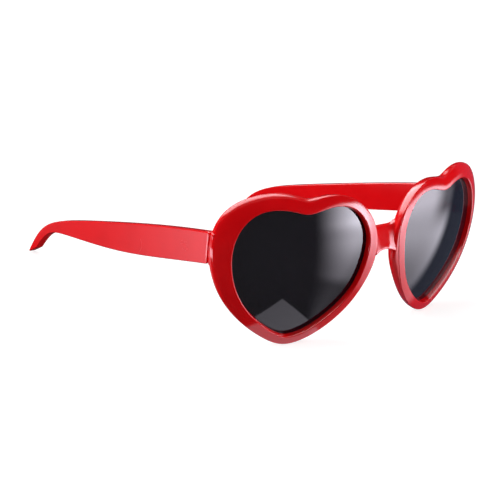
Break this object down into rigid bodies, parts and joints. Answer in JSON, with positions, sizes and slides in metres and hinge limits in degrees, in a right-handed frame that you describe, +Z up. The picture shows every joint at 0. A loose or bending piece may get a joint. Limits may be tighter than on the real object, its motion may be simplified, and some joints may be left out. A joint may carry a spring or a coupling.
{
  "type": "heart shaped sunglasses",
  "caption": "Sunglasses with heart shaped moulded rims, dark wrapped lenses, moulded nose pads and folding temples on screw-pinned metal hinges.",
  "frame": {"origin": "on the surface that the sunglasses stand on, below the middle of their box, with the temples open", "axes": "+X towards the wearer's left, -Y the way the lenses look, so that the temples run towards +Y, +Z up"},
  "size_m": [0.1472, 0.146, 0.0591],
  "materials": {
    "red_plastic": "polished opaque red moulded plastic",
    "dark_lens": "polished near-black tinted lens",
    "hinge_steel": "plated steel"
  },
  "bodies": {
    "front": {"front_frame": "red_plastic", "left_lens": "dark_lens", "right_lens": "dark_lens", "left_front_hinge_leaf": "hinge_steel", "right_front_hinge_leaf": "hinge_steel", "left_hinge_screw": "hinge_steel", "right_hinge_screw": "hinge_steel"},
    "left_temple": {"left_temple": "red_plastic", "left_temple_hinge_leaf": "hinge_steel", "left_temple_leaf_rivets": "hinge_steel"},
    "right_temple": {"right_temple": "red_plastic", "right_temple_hinge_leaf": "hinge_steel", "right_temple_leaf_rivets": "hinge_steel"}
  },
  "joints": [
    {"name": "left_temple_fold", "type": "hinge", "parent": "front", "child": "left_temple", "pos_m": [0.06823, -0.05137, 0.03936], "axis": [0, 0, 1], "range_deg": [0, 81]},
    {"name": "right_temple_fold", "type": "hinge", "parent": "front", "child": "right_temple", "pos_m": [-0.06823, -0.05137, 0.03936], "axis": [0, 0, -1], "range_deg": [0, 86]}
  ]
}
